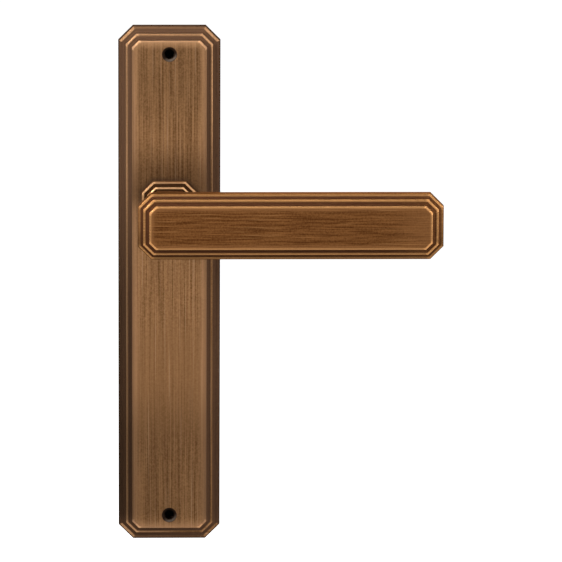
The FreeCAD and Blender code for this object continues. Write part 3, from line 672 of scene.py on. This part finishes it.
def stand(grid, centre, turn):
    """Sets a grid drawn in (u, v, w), w deeper into the plate, at a centre."""
    u, v, w = np.moveaxis(grid, -1, 0)
    return around_axis(u, w, v, turn) + np.array(centre)


def wire_surface(line, radius, sides=20):
    """A round wire along a line: place = line + r (cos f U + sin f V), with U the
    depth axis made square to the line's direction and V square to both. Its ends
    are bevelled by a fifth of the radius and closed at a pole."""
    ahead = np.gradient(line, axis=0)
    ahead /= np.linalg.norm(ahead, axis=1, keepdims=True)
    up = np.array((0.0, 1.0, 0.0)) - ahead * ahead[:, 1:2]
    up /= np.linalg.norm(up, axis=1, keepdims=True)
    aside = np.cross(ahead, up)
    bevel = radius / 5
    start, end = line[:1] - ahead[:1] * bevel, line[-1:] + ahead[-1:] * bevel
    line = np.concatenate((start, start, line, end, end))
    up, aside = (np.concatenate((way[:1], way[:1], way, way[-1:], way[-1:]))
                 for way in (up, aside))
    reach = np.full(len(line), radius)
    reach[[0, -1]] = 0.0
    reach[[1, -2]] = radius - bevel
    angle = (np.arange(sides) * 2 * math.pi / sides)[None, :, None]
    ring = np.cos(angle) * up[:, None] + np.sin(angle) * aside[:, None]
    return line[:, None] + reach[:, None, None] * ring


def spring_line(radius, bend, reach, turns, low, high, swing):
    """Middle line of a torsion spring. The coil is (R cos a, R sin a) while the depth
    rises from low to high; at each end an arc of the bend radius, tangent to the
    coil and to the leg, turns it outwards into a straight radial leg. Swing turns
    the whole about the depth axis."""
    leg_points, bend_points, coil_points = 8, 14, 200
    meet = math.asin(bend / (radius + bend))
    hub = (radius + bend) * math.cos(meet)
    full = 2 * math.pi * turns
    arc = np.linspace(1.5 * math.pi, math.pi + meet, bend_points)[1:]
    out = np.concatenate((np.linspace(reach, hub, leg_points), hub + bend * np.cos(arc)))
    side = np.concatenate((np.zeros(leg_points), bend + bend * np.sin(arc)))
    around = np.linspace(meet, full - meet, coil_points)[1:-1]
    u = np.concatenate((out, radius * np.cos(around),
                        out[::-1] * math.cos(full) + side[::-1] * math.sin(full)))
    v = np.concatenate((side, radius * np.sin(around),
                        out[::-1] * math.sin(full) - side[::-1] * math.cos(full)))
    depth = np.concatenate((np.full(len(out), low), np.interp(
        around, (meet, full - meet), (low, high)), np.full(len(out), high)))
    return around_axis(u, depth, v, swing)


def waved_ring(inner, outer, middle, thick, rise, waves=3, columns=180):
    """A flat strip bent round a circle: its section is a rectangle with corners
    bevelled by a fifth of its thickness, and its depth is middle + rise cos(waves a)."""
    half, bevel = thick / 2, thick / 5
    across = np.array((inner, inner + bevel, outer - bevel, outer, outer,
                       outer - bevel, inner + bevel, inner))
    depth = np.array((bevel - half, -half, -half, bevel - half, half - bevel,
                      half, half, half - bevel))
    angle = np.linspace(0, 2 * math.pi, columns + 1)
    return np.stack((np.cos(angle)[:, None] * across,
                     -(middle + rise * np.cos(waves * angle)[:, None] + depth),
                     np.sin(angle)[:, None] * across), axis=-1)


def slotted_head(rim, shank, slope, slot_width, slot_depth, rows=9, columns=17, steps=5):
    """Countersunk head seen from its top: rows run across it at heights v, each as
    wide as the chord u = s sqrt(r r - v v), and drop into the slot where v is less
    than half its width. From its edge the cone narrows in step with its depth."""
    outside = -rim * np.cos(np.linspace(0, math.acos(slot_width / 2 / rim), rows))
    v = np.concatenate((outside, outside[-1:], -outside[-1:], -outside[::-1]))
    w = np.zeros(len(v))
    w[rows:rows + 2] = slot_depth
    reach = np.sqrt(np.maximum((rim - w) ** 2 - v ** 2, 0.0))
    s = np.linspace(-1, 1, columns)
    top = np.stack(np.broadcast_arrays(reach[:, None] * s, v[:, None], w[:, None]), axis=-1)
    edge = np.concatenate((top[:, -1], top[::-1, 0]))
    foot = edge * (1, 1, 0)
    foot = foot / np.linalg.norm(foot, axis=1, keepdims=True) * shank + (0, 0, slope)
    share = np.linspace(0, 1, steps)[:, None, None]
    side = edge * (1 - share) + foot * share
    under = np.concatenate((side, np.tile((0.0, 0.0, slope), (1, len(edge), 1))))
    return top, under


def threaded_shank(radius, start, length, pitch, sides=20, rows_per_turn=6):
    """A thread cut into a rod: r = R - depth times a triangle wave of
    (w / pitch - a / full turn), where the depth is 0.6 of the pitch. It runs in over
    its first turn, narrows to 0.72 of its width over the last turn and a half, and is
    closed at both ends."""
    w = np.linspace(start, length, int((length - start) / pitch * rows_per_turn))
    angle = np.arange(sides) * 2 * math.pi / sides
    phase = w[:, None] / pitch - angle[None] / (2 * math.pi)
    groove = 0.6 * pitch * np.abs(2 * (phase - np.floor(phase)) - 1)
    fade = np.clip((w - start) / pitch, 0, 1)[:, None]
    tip = np.clip((length - w) / (1.5 * pitch), 0, 1)[:, None]
    reach = (radius - groove * fade) * (0.72 + 0.28 * tip)
    w = np.concatenate((w[:1], w, w[-1:]))
    reach = np.concatenate((0 * reach[:1], reach, 0 * reach[-1:]))
    return np.stack(np.broadcast_arrays(
        reach * np.cos(angle), reach * np.sin(angle), w[:, None]), axis=-1)


# ---- sizes and colours a user may change ---------------------------------------

def colour_property(name, description, default):
    return FloatVectorProperty(name=name, description=description, default=default,
                               subtype="COLOR", size=3, min=0.0, max=1.0)


def share_property(name, description, default, most=1.0):
    return FloatProperty(name=name, description=description, default=default,
                         min=0.0, max=most)


def size_property(name, description, default):
    return FloatProperty(name=name, description=description, default=default,
                         unit="LENGTH", min=0.0, precision=5)


def lamp_property(name, description, default):
    return FloatProperty(name=name, description=f"{description}, in watts", default=default,
                         min=0.0, max=200.0)


class BronzeLook:
    """Colours and strokes of a brushed bronze, with the backplate's values."""
    dark: colour_property("Dark strokes", "Deepest tone of the brushed face",
                          (0.110, 0.051, 0.0195))
    light: colour_property("Light strokes", "Brightest tone of the brushed face",
                           (0.280, 0.143, 0.062))
    glow: colour_property("Panel rim", "Tone of the panel near its edge",
                          (0.34, 0.182, 0.090))
    patina: colour_property("Patina", "Oxide left in the coves", (0.067, 0.035, 0.0215))
    wear: colour_property("Worn edges", "Metal rubbed bare on the edges",
                          (0.36, 0.210, 0.115))
    glow_depth: share_property(
        "Panel rim polish", "How far the panel is polished near its edge", 0.6)
    patina_depth: share_property(
        "Patina depth", "How much the patina covers in the coves", 0.95)
    wear_depth: share_property("Edge wear", "How far the edges are rubbed bare", 0.34)
    edge_depth: share_property(
        "Panel edge wear", "How far the panel's own edge is rubbed bare", 0.3)
    border_depth: share_property(
        "Border patina", "How much patina is left beside the panel's long edges", 0.5)
    # Rim patina is partly patina and partly a painted dark reflection. Rim tone is a painted dark
    # reflection on the sides and outer rim.
    rim_depth: share_property(
        "Rim patina", "How much patina is left on the sides and outer rim", 1.0)
    rim_tone: share_property(
        "Rim tone", "How much darker the sides and outer rim are", 0.5)
    # Painted shade toward the lower end.
    fade: share_property(
        "Lower tone", "How much darker the finish is toward the lower end", 0.35)
    # Painted shade at the panel's upper end.
    upper_shade: share_property(
        "Upper tone", "How much darker the panel is at its upper end", 0.3)
    # Painted shade on the lower part of the side mouldings.
    flank_shade: share_property(
        "Moulding tone", "How much darker the lower part of the side mouldings is", 0.25)
    # Painted shade over the lower right moulding's crest, darkening its highlight.
    crest_shade: share_property(
        "Shaded crest", "How much darker the lower right moulding's crest is", 0.3)
    # Painted shade on the panel above the collar.
    foot_shade: share_property(
        "Foot tone", "How much darker the panel is above the collar", 0.45)
    # Painted highlight on the edges at the corners.
    corner_highlight: share_property(
        "Corner highlight", "How much brighter the edges are at the corners", 0.8, 3.0)
    calm: share_property(
        "Calm strokes", "How far the strokes are polished away at mid height", 0.5)
    scratch_depth: share_property(
        "Scratches", "How bright the deepest hairlines are", 0.8)
    metal: share_property("Metal", "How metallic the brushed face is", 0.5)
    mottle: share_property(
        "Mottle", "Strength of the fine cloudiness between strokes", 1.6, 4.0)
    stroke_width: FloatProperty(
        name="Stroke width", description="Width of a broad brush stroke, in millimetres",
        default=0.85, min=0.2, max=6.0)
    stroke_length: FloatProperty(
        name="Stroke length", description="Length of a broad brush stroke, in millimetres",
        default=90.0, min=5.0, max=200.0)


class PlateLook(BronzeLook, bpy.types.PropertyGroup):
    """The backplate's bronze."""
    hollow: colour_property("Hollow", "Dull skin of the casting's back",
                            (0.16, 0.095, 0.052))


def retuned(look, **defaults):
    """Settings of a look with other defaults."""
    settings = {name: look.__annotations__[name] for name in defaults}
    return {name: kept.function(**{**kept.keywords, "default": defaults[name]})
            for name, kept in settings.items()}


class RedBronzeLook(BronzeLook):
    """The redder and more worn bronze of the lever."""
    __annotations__ = retuned(
        BronzeLook, dark=(0.060, 0.019, 0.0040), light=(0.172, 0.070, 0.0215),
        glow=(0.25, 0.112, 0.042), patina=(0.062, 0.024, 0.0115), wear=(0.42, 0.21, 0.078),
        wear_depth=0.7, edge_depth=0.7, rim_depth=0.1, rim_tone=0.0, fade=0.15,
        scratch_depth=0.4, stroke_length=34.0)


class BarLook(RedBronzeLook, bpy.types.PropertyGroup):
    """The bar's bronze."""


class CollarLook(RedBronzeLook, bpy.types.PropertyGroup):
    """The collar's bronze, with dark coves and the brightest edges."""
    __annotations__ = retuned(
        BronzeLook, patina=(0.012, 0.006, 0.003), wear=(0.60, 0.35, 0.17), wear_depth=0.9,
        fade=0.2)


class WorksLook(bpy.types.PropertyGroup):
    """Sizes of the small steel pieces behind the plate."""
    wire: size_property("Spring wire", "Thickness of the spring's wire", 0.0016)
    bend: size_property("Leg bend", "Bend between the coil and each leg", 0.0011)
    leg: size_property("Leg reach", "Spindle axis to the end of each leg", 0.0163)
    turns: FloatProperty(name="Coil turns", default=1.5, min=0.5,
                         description="Turns of the spring's coil, in half turns")
    swing: FloatProperty(name="Leg swing", default=math.radians(-67.5), subtype="ANGLE",
                         description="Direction of the leg that the lever moves")
    bore: size_property("Wave bore", "Spindle axis to the wave washer's bore", 0.00805)
    strip: size_property("Wave strip", "Thickness of the wave washer's strip", 0.00026)
    rise: size_property("Wave rise", "Height of its waves when it is fitted", 0.00006)
    head: size_property("Screw head", "Across a cover screw's head", 0.0042)
    thread: size_property("Screw thread", "Across a cover screw's thread", 0.0025)
    pitch: size_property("Thread pitch", "Height of one turn of that thread", 0.00045)
    slot_width: size_property("Slot width", "Width of a cover screw's slot", 0.0006)
    slot_depth: size_property("Slot depth", "Depth of a cover screw's slot", 0.0006)


class StageLook(bpy.types.PropertyGroup):
    """Floor, lamps and surroundings."""
    floor_drop: size_property("Floor drop", "How far the floor lies below the plate", 0.26)
    surround: share_property("Surround", "Level of the room's own soft light", 0.25)
    key: lamp_property("Key lamp", "Power of the lamp at the upper left", 0.6)
    top: lamp_property("Top lamp", "Power of the lamp overhead", 1.6)
    fill: lamp_property("Fill lamp", "Power of the lamp at the right", 7.5)
    back: lamp_property("Back lamp", "Power of the lamp behind the plate", 12.0)


class LeverHandleSettings(bpy.types.PropertyGroup):
    """All settings of the lever handle."""
    plate: PointerProperty(type=PlateLook, name="Backplate bronze")
    bar: PointerProperty(type=BarLook, name="Bar bronze")
    collar: PointerProperty(type=CollarLook, name="Collar bronze")
    works: PointerProperty(type=WorksLook, name="Works")
    stage: PointerProperty(type=StageLook, name="Stage")


# ---- operators -------------------------------------------------------------------

def moulding(low, high, middle_z, **steps):
    """Values of the moulding group, in millimetres, for a piece between two corners."""
    return {
        "Centre": ((low.x + high.x) / 2 / MM, 0.0, middle_z / MM),
        "Half_Width": (high.x - low.x) / 2 / MM,
        "Half_Height": (high.z - low.z) / 2 / MM,
        **steps,
    }


PLATE_MIDDLE = (PLATE_LOW.z + PLATE_HIGH.z) / 2
PLATE_SIZES = moulding(
    PLATE_LOW, PLATE_HIGH, PLATE_MIDDLE, Cut=7.2, Insets=(0.0, 3.7, 6.7), Rim_Height=3.2,
    Rim_Width=0.9, Crest_Width=(1.1, 1.3, 1.2), Crest_Gain=(0.0, 0.3, 1.0), Glow_Width=5.0)
BAR_SIZES = moulding(
    BAR_LOW, BAR_HIGH, 0.0, Cut=6.4, Insets=(0.0, 2.6, 5.5), Rim_Height=-BAR_LOW.y / MM - 4.6,
    Rim_Width=0.5, Crest_Width=(1.0, 1.3, 1.2), Crest_Gain=(0.6, 1.0, 1.0), Glow_Width=3.5)
COLLAR_SIZES = moulding(
    COLLAR_LOW, COLLAR_HIGH, 0.0, Cut=5.6, Insets=(0.0, 2.7, 4.3),
    Rim_Height=-COLLAR_LOW.y / MM - 2.1, Rim_Width=0.4, Crest_Width=(0.9, 0.9, 0.9),
    Crest_Gain=(1.0, 1.0, 1.0), Glow_Width=3.0)

# Heights from each piece's own middle, between which its painted shade changes, and on the plate
# where its strokes are calmed.
PLATE_TONES = {"lower": (-42.0, -80.0), "lower_end": -122.0, "shaded_flanks": (80.0, -20.0),
               "upper": (62.0, 104.0), "calm": (-10.0, -30.0, -66.0, -84.0)}
BAR_TONES = {"lower": (4.0, -9.0)}
BAR_GRIP = (42.0, 68.0)  # along X, from the bar's middle

# The screw holes, from the plate's middle, and the hollow of the plate's back.
HOLES = ((0.0, 115.2), (0.0, -115.2))
HOLE_RADIUS = 2.6
HOLLOW_WALL = 4.1
HOLLOW_HEIGHT = 7.45
FACES_BACK = 0.3  # a face counts as the back's from this much of its normal on


class LEVERSET_OT_backplate(bpy.types.Operator):
    """Finish the backplate in bronze brushed up and down"""
    bl_idname = "leverset.backplate"
    bl_label = "Dress backplate"

    def execute(self, context):
        look = context.scene.lever_handle.plate
        piece, centres, normals = smooth_shell(
            "backplate", "plate",
            bronze("bronze_plate_finish", look, PLATE_SIZES, False, PLATE_TONES,
                   holes=HOLES, foot=COLLAR_SIZES))
        piece.data.materials.append(as_cast("cast_hollow_finish", look.hollow))
        x, y, z = (centres - np.array(PLATE_SIZES["Centre"])).T
        inset = np.minimum(PLATE_SIZES["Half_Width"] - np.abs(x),
                           PLATE_SIZES["Half_Height"] - np.abs(z))
        within = (-y < HOLLOW_HEIGHT) & (inset > HOLLOW_WALL)
        hollow = (within & (normals[:, 1] > -FACES_BACK)) | (normals[:, 1] > FACES_BACK)
        for hole_x, hole_z in HOLES:
            hollow &= np.hypot(x - hole_x, z - hole_z) > HOLE_RADIUS
        piece.data.polygons.foreach_set("material_index", hollow.astype(np.int32))
        return {"FINISHED"}


class LEVERSET_OT_lever(bpy.types.Operator):
    """Finish the bar and its collar in bronze brushed along the bar"""
    bl_idname = "leverset.lever"
    bl_label = "Dress lever"

    def execute(self, context):
        looks = context.scene.lever_handle
        smooth_shell("lever_handle", "lever", bronze(
            "bronze_lever_finish", looks.bar, BAR_SIZES, True, BAR_TONES, grip=BAR_GRIP))
        smooth_shell("neck_collar", "lever", bronze(
            "bronze_collar_finish", looks.collar, COLLAR_SIZES, True, BAR_TONES))
        return {"FINISHED"}


SPRING_PLAY = 0.02  # millimetres that the coil stays clear of its solid's ends


class LEVERSET_OT_spring(bpy.types.Operator):
    """Wind the return spring, with a smooth bend at each leg"""
    bl_idname = "leverset.spring"
    bl_label = "Wind spring"

    def execute(self, context):
        look = context.scene.lever_handle.works
        low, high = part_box("return_spring")
        wire = look.wire / MM / 2
        near = -high.y / MM + wire + SPRING_PLAY
        far = -low.y / MM - wire - SPRING_PLAY
        line = spring_line((high.x - low.x) / 2 / MM - wire, look.bend / MM, look.leg / MM,
                           look.turns, near, far, look.swing)
        piece = new_piece("spring_wire", spring_steel(),
                          ((wire_surface(line, wire), True),))
        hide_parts("return_spring")
        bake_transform(piece)
        return {"FINISHED"}


class LEVERSET_OT_washer(bpy.types.Operator):
    """Bend the wave washer's three waves"""
    bl_idname = "leverset.washer"
    bl_label = "Wave washer"

    def execute(self, context):
        look = context.scene.lever_handle.works
        low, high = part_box("wave_washer")
        ring = waved_ring(look.bore / MM, high.x / MM, -(low.y + high.y) / 2 / MM,
                          look.strip / MM, look.rise / MM)
        piece = new_piece("waved_washer", spring_steel(), ((ring, True),))
        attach(piece, "lever")
        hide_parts("wave_washer")
        return {"FINISHED"}


# The cover's corners, right and up from its middle, and how far each slot is turned.
SCREW_PLACES = ((1, 1, 0.35), (-1, 1, 1.9), (-1, -1, -0.5), (1, -1, 1.2))
THREAD_LAP = 0.05  # millimetres that each shank reaches into its head


class LEVERSET_OT_screws(bpy.types.Operator):
    """Turn the cover's four slotted screws and their threads"""
    bl_idname = "leverset.screws"
    bl_label = "Cover screws"

    def execute(self, context):
        look = context.scene.lever_handle.works
        low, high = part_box("cover_screws")
        rim, rod = look.head / MM / 2, look.thread / MM / 2
        side, end = high.x / MM - rim, high.z / MM - rim
        top, under = slotted_head(rim, rod, rim - rod, look.slot_width / MM,
                                  look.slot_depth / MM)
        shank = threaded_shank(rod, rim - rod - THREAD_LAP, (high.y - low.y) / MM,
                               look.pitch / MM)
        grids = []
        for right, up, turn in SCREW_PLACES:
            centre = (right * side, high.y / MM, up * end)
            grids += [(stand(top, centre, turn), False), (stand(under, centre, turn), True),
                      (stand(shank, centre, turn), True)]
        piece = new_piece("slotted_screws", zinc_plate(), grids)
        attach(piece, "plate")
        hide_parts("cover_screws")
        return {"FINISHED"}


class LEVERSET_OT_works(bpy.types.Operator):
    """Finish the other steel and plastic pieces of the return mechanism"""
    bl_idname = "leverset.works"
    bl_label = "Dress works"

    def execute(self, context):
        for node in ("cover_plate", "stop_pins", "anchor_pin", "spindle", "drive_ring",
                     "thrust_washer"):
            dress(node, zinc_plate())
        for node in ("circlip", "grub_screw"):
            dress(node, black_oxide())
        dress("bearing_bush", acetal())
        return {"FINISHED"}


# ---- stage -----------------------------------------------------------------------

FLOOR_REACH = 12.0
FLOOR_GLOW = 0.85
SHADE_RADIUS = 2.38 * MM
SHADE_DEPTH = 2.0 * MM  # before the door face, inside each screw hole
LAMPS = (  # name, its place, the place it faces, and its two sides, in metres
    ("key", (-0.40, -0.45, 0.34), (-0.01, 0, 0.08), (0.3, 0.3)),
    ("top", (0.03, -0.24, 0.60), (0.03, 0, 0.0), (0.35, 0.2)),
    ("fill", (1.05, -0.50, 0.05), (0.02, 0, -0.05), (0.7, 0.7)),
    ("back", (0.15, 0.95, 0.95), (0.0, 0, -0.04), (0.7, 0.5)),
)
KEY_SPREAD = math.radians(52)
CAMERA_PLACE = (-0.0302, -3.000, 0.5479)
CAMERA_TURN = (math.radians(90 - 10.901), math.radians(-0.2), math.radians(-1.468))
CAMERA_LENS = 397.68
CAMERA_SHIFT = (0.0229, -0.0295)


def shown_white(graph):
    """One for the rays that see the background itself or its mirror image."""
    rays = graph.node("ShaderNodeLightPath").outputs
    return graph.larger(rays["Is Camera Ray"], graph.larger(
        rays["Is Glossy Ray"], rays["Is Transmission Ray"]))


def matt_paint(name, colour):
    """A paint without gloss, and its graph and shader."""
    paint, graph, shader = new_finish(name)
    shader.inputs["Base Color"].default_value = colour
    shader.inputs["Specular IOR Level"].default_value = 0.0
    return paint, graph, shader


def lay_floor(height):
    """A wide pale floor that shows white and still takes the object's shadow."""
    paint, graph, shader = matt_paint("floor_paint", (0.9, 0.9, 0.9, 1))
    shader.inputs["Roughness"].default_value = 1.0
    shader.inputs["Emission Color"].default_value = (1, 1, 1, 1)
    graph.put(shader.inputs["Emission Strength"], graph.times(shown_white(graph), FLOOR_GLOW))
    mesh = bpy.data.meshes.new("floor")
    corners = ((-1, -1), (1, -1), (1, 1), (-1, 1))
    mesh.from_pydata([(x * FLOOR_REACH, y * FLOOR_REACH, height) for x, y in corners], [],
                     [(0, 1, 2, 3)])
    mesh.materials.append(paint)
    new_object("floor", mesh)


def shade_holes():
    """A near-black disc in each screw hole, where a door would be: a sheet of painted shade that
    makes the hole look dark.
    """
    shade, _, _ = matt_paint("door_shade", (0.012, 0.013, 0.011, 1))
    for hole_x, hole_z in HOLES:
        bpy.ops.mesh.primitive_circle_add(
            vertices=48, radius=SHADE_RADIUS, fill_type="NGON",
            rotation=(math.radians(90), 0, 0),
            location=(hole_x * MM, -SHADE_DEPTH, hole_z * MM + PLATE_MIDDLE))
        disc = bpy.context.object
        disc.name = "door_shade"
        disc.data.materials.append(shade)


def light_room(surround):
    """A room that shows white and gives the object a soft light of the given level."""
    world = bpy.data.worlds.new("room")
    bpy.context.scene.world = world
    world.use_nodes = True
    graph = Graph(world.node_tree)
    room = world.node_tree.nodes["Background"]
    room.inputs["Color"].default_value = (1, 1, 1, 1)
    graph.put(room.inputs["Strength"], graph.larger(shown_white(graph), surround))


def area_lamp(name, spot, target, size, power):
    """A rectangular soft lamp that faces a point."""
    data = bpy.data.lights.new(name, "AREA")
    data.shape = "RECTANGLE"
    data.size, data.size_y = size
    data.energy = power
    lamp = new_object(name, data)
    lamp.location = spot
    ahead = Vector(target) - Vector(spot)
    lamp.rotation_euler = ahead.to_track_quat("-Z", "Y").to_euler()
    return lamp


def place_camera():
    lens = bpy.data.cameras.new("camera")
    lens.lens = CAMERA_LENS
    lens.shift_x, lens.shift_y = CAMERA_SHIFT
    camera = new_object("camera", lens)
    camera.location = CAMERA_PLACE
    camera.rotation_euler = CAMERA_TURN
    bpy.context.scene.camera = camera


class LEVERSET_OT_stage(bpy.types.Operator):
    """Set up the floor, the surroundings, the lamps and the camera"""
    bl_idname = "leverset.stage"
    bl_label = "Set stage"

    def execute(self, context):
        stage = context.scene.lever_handle.stage
        lay_floor(PLATE_LOW.z - stage.floor_drop)
        shade_holes()
        light_room(stage.surround)
        for name, spot, target, size in LAMPS:
            lamp = area_lamp(f"{name}_lamp", spot, target, size, getattr(stage, name))
            if name == "key":
                lamp.data.spread = KEY_SPREAD
        place_camera()
        context.scene.view_settings.view_transform = "Standard"
        return {"FINISHED"}


class LEVERSET_PT_panel(bpy.types.Panel):
    """Lists the steps that dress the lever handle"""
    bl_label = "Lever Handle"
    bl_idname = "LEVERSET_PT_panel"
    bl_space_type = "VIEW_3D"
    bl_region_type = "UI"
    bl_category = "Lever Handle"

    def draw(self, context):
        for step in STEPS:
            self.layout.operator(step.bl_idname)


STEPS = (LEVERSET_OT_stage, LEVERSET_OT_backplate, LEVERSET_OT_lever, LEVERSET_OT_spring,
         LEVERSET_OT_washer, LEVERSET_OT_screws, LEVERSET_OT_works)
LOOKS = (PlateLook, BarLook, CollarLook, WorksLook, StageLook, LeverHandleSettings)
CLASSES = LOOKS + STEPS + (LEVERSET_PT_panel,)


def register():
    for item in CLASSES:
        bpy.utils.register_class(item)
    bpy.types.Scene.lever_handle = PointerProperty(type=LeverHandleSettings)


def unregister():
    del bpy.types.Scene.lever_handle
    for item in reversed(CLASSES):
        bpy.utils.unregister_class(item)


def main():
    register()
    moulding_group()
    brushing_group()
    for step in STEPS:
        group, name = step.bl_idname.split(".")
        getattr(getattr(bpy.ops, group), name)()


if __name__ == "__main__":
    main()
